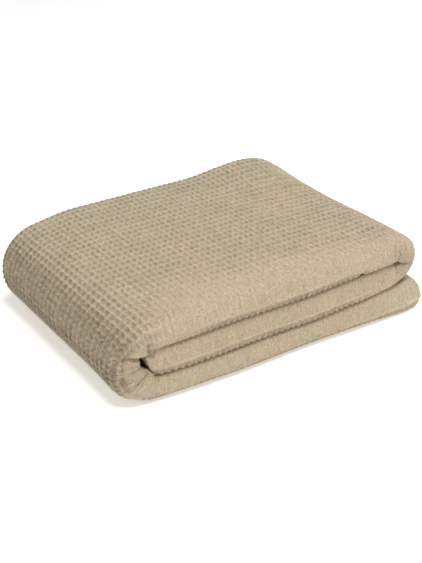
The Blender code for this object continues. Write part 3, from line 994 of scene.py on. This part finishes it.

# %% [markdown]
# ## The finish: dull sand-coloured cotton
#
# An image of cloth could be laid over the sheet, but it would be blurred from near by and cut at
# its seams, so nodes draw the finish from the same cells as the relief, at any size.
#
# The cloth is woven from soft cotton yarn, dyed a warm sand colour before it is woven. It has no
# gloss, only the faint light edge that loose fibres give. Painted shade makes the pits a little
# darker, and a painted highlight makes the raised yarns a little lighter. Real yarn is uneven, so
# three textures tint it: wide clouds, thick and thin places, and streaks along the yarns that run
# across. The raised yarn on each folded edge gets the brightest painted highlight, and the strip
# under it gets painted shade.

# %% The cotton's colour
# RAISED is a painted highlight on the raised yarns and PIT is painted shade in the pits; BASE is the
# cloth's own colour.
RAISED_PAINTED_HIGHLIGHT_COLOUR = "#C9B99E"
BASE_COLOUR = "#C0B095"
PIT_PAINTED_SHADE_COLOUR = "#B3A286"
TONES = [(0.05, PIT_PAINTED_SHADE_COLOUR), (0.30, BASE_COLOUR), (0.75, BASE_COLOUR), (0.96, RAISED_PAINTED_HIGHLIGHT_COLOUR)]
EVEN_LEVEL = 0.50               # the height whose colour the cloth has where its pits are closed
EDGE_YARN = 0.15                # half the width of the raised yarn on a folded edge, in cells
EDGE_PAINTED_HIGHLIGHT = 0.30             # how much lighter its painted highlight makes it
STRIP_PAINTED_SHADE = 0.10             # how much darker the strip under it is painted, as shade
CLOUDS = 30.0                   # cloudy places in one metre
CLOUD_TINT = 0.04               # how much lighter and darker they are
SLUB = 0.0020                   # size of the thick and thin places in the yarn
SLUB_TINT = 0.18                # and how much lighter and darker they are
STREAK_LONG = 0.0120            # long side of the uneven streaks in the yarns that run across
STREAK_WIDE = 0.0020
STREAK_TINT = 0.06              # how much lighter and darker they are
TEXTURE_LOW, TEXTURE_HIGH = 0.3, 0.7    # a noise texture keeps nearly between these


def counted_in(tree, cells, across, along):
    """Places counted in cells, counted again in steps of the two given sizes."""
    return node(tree, "ShaderNodeVectorMath",
                {0: cells, 1: (CELL_ACROSS / across, CELL_ALONG / along, 0.0)},
                operation="MULTIPLY").outputs[0]


def pit_shade_and_highlight(tree, height):
    """Painted shade in pits, a painted highlight on raised yarns, the cloth's own tone between."""
    ramp = node(tree, "ShaderNodeValToRGB", {0: height})
    stops = ramp.color_ramp.elements
    while len(stops) < len(TONES):
        stops.new(1.0)
    for stop, (position, code) in zip(stops, TONES):
        stop.position = position
        stop.color = colour(code)
    return ramp.outputs[0]


# The raised yarn along this line gets bump and a painted highlight.
def edge_yarn_line(tree, cells, on_band):
    """1 on the raised yarn along a folded edge, which is the line where cells start to count."""
    counts = node(tree, "ShaderNodeSeparateXYZ", {0: cells}).outputs["X"]
    away = node(tree, "ShaderNodeMath", {0: counts}, operation="ABSOLUTE").outputs[0]
    near = node(tree, "ShaderNodeMapRange", {0: away, 1: 0.0, 2: EDGE_YARN, 3: 1.0, 4: 0.0},
                interpolation_type="SMOOTHSTEP").outputs[0]
    return node(tree, "ShaderNodeMath", {0: near, 1: on_band}, operation="MULTIPLY").outputs[0]


def tinted(tree, base, textures, edge_yarn, below_line):
    """Textures tint the base; the edge yarn gets painted highlight, the strip painted shade."""
    # painted shade on the strip under each band's foremost line
    strip = node(tree, "ShaderNodeMath", {0: below_line, 1: -STRIP_PAINTED_SHADE, 2: 1.0},
                 operation="MULTIPLY_ADD").outputs[0]
    shade = 1.0
    for texture, tint in textures:
        share = node(tree, "ShaderNodeMapRange", {0: texture, 1: TEXTURE_LOW, 2: TEXTURE_HIGH,
                                                  3: 1 - tint, 4: 1 + tint}).outputs[0]
        shade = node(tree, "ShaderNodeMath", {0: shade, 1: share}, operation="MULTIPLY").outputs[0]
    shade = node(tree, "ShaderNodeMath", {0: shade, 1: strip}, operation="MULTIPLY").outputs[0]
    # painted highlight on the raised yarn along each folded edge
    shade = node(tree, "ShaderNodeMath", {0: edge_yarn, 1: EDGE_PAINTED_HIGHLIGHT, 2: shade},
                 operation="MULTIPLY_ADD").outputs[0]
    return node(tree, "ShaderNodeVectorMath", {0: base, 3: shade}, operation="SCALE").outputs[0]


print("the raised yarns are", RAISED_PAINTED_HIGHLIGHT_COLOUR, "and the pits", PIT_PAINTED_SHADE_COLOUR)

# %% [markdown]
# ## The finish: fine relief as bump
#
# The net of points gives the pits their shape, and bump over it gives them crisp rims. Bump also
# draws what is finer than the points: single yarns, their thick and thin places, the streaks, and
# the fine upright gathers that are left of the pits where the cloth is stretched over a folded
# edge.

# %% The cotton material
YARN = 0.0018                   # the real yarns lie 0.9 mm apart: twice that, so that they show
YARN_RELIEF = 0.00030           # how far the yarns, their thick places and the streaks stand out
SLUB_RELIEF = 0.00080
STREAK_RELIEF = 0.00045
GATHER = CELL_ALONG / 2         # distance between two gathers
GATHER_RELIEF = 0.00016
CRISPNESS = 1.45                # share of the pits' depth that bump adds to the real relief
EDGE_YARN_RELIEF = 0.0006       # how far the raised yarn on a folded edge stands out
COTTON_SURFACE = {"Roughness": 0.95, "Specular IOR Level": 0.12, "Sheen Weight": 0.08,
                  "Sheen Roughness": 0.5}


def fine_heights(tree, cells, height, kept):
    """Pits, gathers and yarns, as pairs of a height from 0 to 1 and its size in metres."""
    left_over = node(tree, "ShaderNodeMapRange", {0: kept["relief"], 1: 0.0, 2: 1.0, 3: 1.0,
                                                  4: CRISPNESS}).outputs[0]
    drawn = node(tree, "ShaderNodeMath", {0: height, 1: left_over}, operation="MULTIPLY")
    gathers = rises_from(tree, counted_in(tree, cells, GATHER, GATHER))[1]
    closed_share = node(tree, "ShaderNodeMath", {0: 1.0, 1: kept["openness"]},
                        operation="SUBTRACT", use_clamp=True).outputs[0]
    gathered = node(tree, "ShaderNodeMath", {0: gathers, 1: closed_share}, operation="MULTIPLY")
    yarns = rises_from(tree, counted_in(tree, cells, YARN, YARN))
    yarn = node(tree, "ShaderNodeMath", {0: yarns[0], 1: yarns[1]}, operation="MULTIPLY")
    return [(drawn.outputs[0], WEAVE_DEPTH), (gathered.outputs[0], GATHER_RELIEF),
            (kept["edge_yarn"], EDGE_YARN_RELIEF), (yarn.outputs[0], YARN_RELIEF)]


def cotton_material():
    """Woven cotton, dyed in the yarn: no gloss, a faint light rim from loose fibres."""
    material = bpy.data.materials.new("sand_waffle_cotton")
    material.use_nodes = True
    tree = material.node_tree
    shader = tree.nodes["Principled BSDF"]
    for name, value in COTTON_SURFACE.items():
        shader.inputs[name].default_value = value
    cells = node(tree, "ShaderNodeAttribute", attribute_name="weave_place").outputs["Vector"]
    kept = {name: node(tree, "ShaderNodeAttribute", attribute_name=name).outputs["Fac"]
            for name in ("relief", "openness", "on_band", "below_line")}
    kept["edge_yarn"] = edge_yarn_line(tree, cells, kept["on_band"])
    shape = cell_height(tree, cells)
    share = uneven_share(tree, cells, kept["openness"])
    place = node(tree, "ShaderNodeTexCoord").outputs["Object"]
    clouds = node(tree, "ShaderNodeTexNoise", {"Vector": place, "Scale": CLOUDS, "Detail": 4.0})
    slubs = node(tree, "ShaderNodeTexNoise", {"Vector": place, "Scale": 1 / SLUB, "Detail": 2.0})
    streaks = node(tree, "ShaderNodeTexNoise",
                   {"Vector": counted_in(tree, cells, STREAK_LONG, STREAK_WIDE), "Scale": 1.0,
                    "Detail": 1.0}, noise_dimensions="2D")
    clouds, slubs, streaks = clouds.outputs[0], slubs.outputs[0], streaks.outputs[0]
    # the cloth's own colour, with painted shade in the pits and a painted highlight on the raised
    # yarns
    base = pit_shade_and_highlight(tree, drawn_towards(tree, shape, EVEN_LEVEL, share))
    textures = ((clouds, CLOUD_TINT), (slubs, SLUB_TINT), (streaks, STREAK_TINT))
    seen = tinted(tree, base, textures, kept["edge_yarn"], kept["below_line"])
    tree.links.new(seen, shader.inputs["Base Color"])
    heights = fine_heights(tree, cells, drawn_towards(tree, shape, 1.0, share), kept)
    under = {}
    for height, size in (*heights, (streaks, STREAK_RELIEF), (slubs, SLUB_RELIEF)):
        bumped = node(tree, "ShaderNodeBump", {"Height": height, "Distance": size, **under})
        under = {"Normal": bumped.outputs[0]}
    tree.links.new(bumped.outputs[0], shader.inputs["Normal"])
    return material


cotton = cotton_material()
print("the cotton has", len(cotton.node_tree.nodes), "nodes")

# %% [markdown]
# ## The weave as real relief
#
# Bump alone would leave the outline smooth, and a Displace modifier would need an image of the
# pits. The waffle follows a rule all over the cloth, so a Geometry Nodes tree makes it: it counts
# each point's place in cells, lets the rows stray a little as real ones do, and sinks the point
# below the raised yarns by the depth of the pit there. Nearly all of the relief goes inwards and
# stays within one ply, so the cloth's outside is where the solid has it and no ply goes through the
# next. Only the ribs on the strips under the folded edges stand out a little.

# %% The relief tree
RELIEF_LIMIT = 1.35             # pits that open further do so only as bump: a pit is in one ply
RIB_LIFT = 0.0006               # how far the cross ribs stand out on the strips under the edges
STRAY = 0.0026                  # how far the rows stray from straight lines
STRAY_WAVES = 22.0              # wide waves of that in one metre
TREE_INPUTS = {"Geometry": "Geometry", "Cell Across": "Float", "Cell Along": "Float",
               "Depth": "Float", "Rib": "Float", "Stray": "Float", "Seed": "Float",
               "Finish": "Material"}


def weave_tree():
    """Sinks each point of a cloth into its pits, by the places that the point keeps."""
    tree = bpy.data.node_groups.new("waffle_relief", "GeometryNodeTree")
    for name, kind in TREE_INPUTS.items():
        tree.interface.new_socket(name, in_out="INPUT", socket_type="NodeSocket" + kind)
    tree.interface.new_socket("Geometry", in_out="OUTPUT", socket_type="NodeSocketGeometry")
    given = node(tree, "NodeGroupInput").outputs
    flat_place = node(tree, "GeometryNodeInputNamedAttribute", {"Name": "flat_place"},
                      data_type="FLOAT_VECTOR").outputs[0]
    kept = {name: node(tree, "GeometryNodeInputNamedAttribute", {"Name": name},
                       data_type="FLOAT").outputs[0]
            for name in ("relief", "openness", "below_line")}
    noise = node(tree, "ShaderNodeTexNoise",
                 {"Vector": flat_place, "W": given["Seed"], "Scale": STRAY_WAVES, "Detail": 4.0},
                 noise_dimensions="4D")
    centred = node(tree, "ShaderNodeVectorMath", {0: noise.outputs["Color"], 1: (0.5, 0.5, 0.5)},
                   operation="SUBTRACT")
    stray = node(tree, "ShaderNodeVectorMath", {0: centred.outputs[0], 3: given["Stray"]},
                 operation="SCALE")
    moved = node(tree, "ShaderNodeVectorMath", {0: flat_place, 1: stray.outputs[0]}, operation="ADD")
    cell = node(tree, "ShaderNodeCombineXYZ", {0: given["Cell Across"], 1: given["Cell Along"],
                                               2: 1.0})
    counted = node(tree, "ShaderNodeVectorMath", {0: moved.outputs[0], 1: cell.outputs[0]},
                   operation="DIVIDE").outputs[0]
    within_ply = node(tree, "ShaderNodeMath", {0: kept["openness"], 1: RELIEF_LIMIT},
                      operation="MINIMUM")
    height = drawn_towards(tree, cell_height(tree, counted), 1.0,
                           uneven_share(tree, counted, within_ply.outputs[0]))
    below = node(tree, "ShaderNodeMath", {0: height, 1: 1.0}, operation="SUBTRACT")
    deep = node(tree, "ShaderNodeMath", {0: below.outputs[0], 1: given["Depth"]},
                operation="MULTIPLY")
    rib = node(tree, "ShaderNodeMath", {0: rises_from(tree, counted)[1], 1: given["Rib"]},
               operation="MULTIPLY")
    lifted = node(tree, "ShaderNodeMath",
                  {0: rib.outputs[0], 1: kept["below_line"], 2: deep.outputs[0]},
                  operation="MULTIPLY_ADD")
    sunk = node(tree, "ShaderNodeMath", {0: lifted.outputs[0], 1: kept["relief"]},
                operation="MULTIPLY")
    normal = node(tree, "GeometryNodeInputNormal").outputs[0]
    offset = node(tree, "ShaderNodeVectorMath", {0: normal, 3: sunk.outputs[0]}, operation="SCALE")
    stored = node(tree, "GeometryNodeStoreNamedAttribute",
                  {"Geometry": given["Geometry"], "Name": "weave_place", "Value": counted},
                  data_type="FLOAT_VECTOR", domain="POINT")
    shaped = node(tree, "GeometryNodeSetPosition", {"Geometry": stored.outputs[0],
                                                    "Offset": offset.outputs[0]})
    real = node(tree, "GeometryNodeRealizeInstances", {0: shaped.outputs[0]})
    finished = node(tree, "GeometryNodeSetMaterial", {"Geometry": real.outputs[0],
                                                      "Material": given["Finish"]})
    node(tree, "NodeGroupOutput", {0: finished.outputs[0]})
    return tree


def with_relief(sheet, settings):
    """The sheet as a plain mesh, once the relief tree has shaped it."""
    modifier = sheet.modifiers.new("waffle_relief", "NODES")
    modifier.node_group = weave_tree()
    for socket in modifier.node_group.interface.items_tree:
        if socket.in_out == "INPUT" and socket.name in settings:
            modifier[socket.identifier] = settings[socket.name]
    bpy.context.view_layer.update()
    evaluated = sheet.evaluated_get(bpy.context.evaluated_depsgraph_get())
    mesh = bpy.data.meshes.new_from_object(evaluated)
    sheet.modifiers.remove(modifier)
    return mesh


woven = with_relief(blanket_sheet, {
    "Cell Across": CELL_ACROSS, "Cell Along": CELL_ALONG, "Depth": WEAVE_DEPTH, "Rib": RIB_LIFT,
    "Stray": STRAY, "Seed": 4.0, "Finish": cotton})
blanket = bpy.data.objects.new("waffle_blanket", woven)
bpy.context.scene.collection.objects.link(blanket)
bpy.data.objects.remove(blanket_sheet, do_unlink=True)
triangles = sum(len(face.vertices) - 2 for face in woven.polygons)
print("the woven sheet has", triangles, "triangles")

# %% [markdown]
# ## The cloth in its place
#
# The folds and the relief have moved the sheet's outline by a millimetre or so. It is set on the
# floor and on the solid's middle; then it rides on the fixed body and takes the solid's place in
# the picture.

# %% Seat the sheet on the solid's place
points = np.zeros(len(woven.vertices) * 3, np.float32)
woven.vertices.foreach_get("co", points)
points = points.reshape(-1, 3)
sheet_middle = (points.min(0) + points.max(0)) / 2
solid_middle = (np.array(solid_low) + np.array(solid_high)) / 2
move = Vector((*(solid_middle - sheet_middle)[:2], -points[:, 2].min()))
woven.transform(Matrix.Translation(move))
print("moved by, in mm,", [round(1000 * way, 2) for way in move])
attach(blanket, "root")
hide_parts(SOLID)

# %% [markdown]
# ## The table
#
# A catalogue picture can be taken on a white table that is also lit from below, so that the floor
# stays white and shadows are light. Here it is opal acrylic, matt from sanding, so it shows no
# highlight, and a small glow stands for the light through it.

# %% The light table
FLOOR_HALF = 6.0                # half of the table's side
TABLE_GLOW = 0.38               # brightness of the light from below, which keeps shadows light
CORNER_WAYS = ((-1, -1), (1, -1), (1, 1), (-1, 1))


def table_material():
    """Opal acrylic, sanded matt: white, and no highlight anywhere."""
    material = bpy.data.materials.new("white_light_table")
    material.use_nodes = True
    shader = material.node_tree.nodes["Principled BSDF"]
    for name, value in {"Base Color": colour("#FAFAFA"), "Roughness": 1.0,
                        "Specular IOR Level": 0.0, "Emission Color": (1.0, 1.0, 1.0, 1.0),
                        "Emission Strength": TABLE_GLOW}.items():
        shader.inputs[name].default_value = value
    return material


floor_mesh = bpy.data.meshes.new("studio_floor")
floor_mesh.from_pydata([(FLOOR_HALF * x, FLOOR_HALF * y, 0) for x, y in CORNER_WAYS], [],
                       [(0, 1, 2, 3)])
floor_mesh.materials.append(table_material())
floor = bpy.data.objects.new("studio_floor", floor_mesh)
bpy.context.scene.collection.objects.link(floor)
print("the table is", 2 * FLOOR_HALF, "m wide")

# %% [markdown]
# ## The lights
#
# Two large soft lights hang high up, one on the right and one in front on the left, in an even
# surrounding. Which side the light is on shows on the blanket: one wall of every pit is dark,
# another one on the top than on the left end, and the left end is the darkest part. The lights are
# high up because the cracks between the bands are dark.

# %% Lights and surrounding
LIGHTS = [                      # the one on the right, and the one in front on the left
    {"name": "key_softbox", "place": (1.15, -0.10, 1.43), "power": 12.5},
    {"name": "fill_softbox", "place": (-0.38, -0.66, 1.68), "power": 15.2},
]
LIGHT_SIZE = 0.5
LIGHT_TARGET = (0.0, 0.0, 0.05)
SURROUNDING = 0.39              # brightness of the even surrounding

for row in LIGHTS:
    light = bpy.data.lights.new(row["name"], "AREA")
    light.shape = "DISK"
    light.size = LIGHT_SIZE
    light.energy = row["power"]
    lamp = bpy.data.objects.new(row["name"], light)
    lamp.location = row["place"]
    towards = Vector(LIGHT_TARGET) - Vector(row["place"])
    lamp.rotation_euler = towards.to_track_quat("-Z", "Y").to_euler()
    bpy.context.scene.collection.objects.link(lamp)
    print(row["name"], "is", round(towards.length, 2), "m away")
world = bpy.data.worlds.new("studio")
world.use_nodes = True
surrounding = world.node_tree.nodes["Background"]
surrounding.inputs["Color"].default_value = (1.0, 1.0, 1.0, 1.0)
surrounding.inputs["Strength"].default_value = SURROUNDING
bpy.context.scene.world = world
bpy.context.scene.view_settings.view_transform = "Standard"

# %% [markdown]
# ## The camera
#
# A camera could be moved by eye until the picture fits, but each move would upset the last one.
# These angles and this distance were worked out from the blanket's outline and the lines of its
# weave. The camera stands where the photograph was taken from: in front of the near left corner,
# looking down by about 28 degrees. The picture is 422 pixels wide and 563 high, and the lens
# follows from the strength of the perspective, 1100 pixels of distance.

# %% The camera
PICTURE = (422, 563)
LENS_PIXELS = 1100.0            # distance from the eye to the picture, in pixels
LOOK_DOWN = math.radians(28.2)
HEADING = math.radians(56.4)    # from +X towards +Y
DISTANCE = 1.245
AIM = Vector((0.0, 0.0, 0.044))  # the point that the camera looks at
AIM_PIXEL = (212.0, 271.8)      # where AIM shows in the picture

forward = Vector((math.cos(HEADING) * math.cos(LOOK_DOWN), math.sin(HEADING) * math.cos(LOOK_DOWN),
                  -math.sin(LOOK_DOWN)))
right = Vector((math.sin(HEADING), -math.cos(HEADING), 0.0))
up = right.cross(forward)
shift_right = (AIM_PIXEL[0] - PICTURE[0] / 2) / LENS_PIXELS
shift_up = (PICTURE[1] / 2 - AIM_PIXEL[1]) / LENS_PIXELS
lens = bpy.data.cameras.new("camera")
lens.sensor_fit = "AUTO"
lens.sensor_width = 36.0
lens.lens = LENS_PIXELS * lens.sensor_width / PICTURE[1]
lens.clip_start = 0.05
camera = bpy.data.objects.new("camera", lens)
camera.location = AIM - DISTANCE * (forward + right * shift_right + up * shift_up)
camera.rotation_euler = forward.to_track_quat("-Z", "Y").to_euler()
bpy.context.scene.collection.objects.link(camera)
bpy.context.scene.camera = camera
print("the lens is", round(lens.lens, 1), "mm, at", [round(way, 3) for way in camera.location])
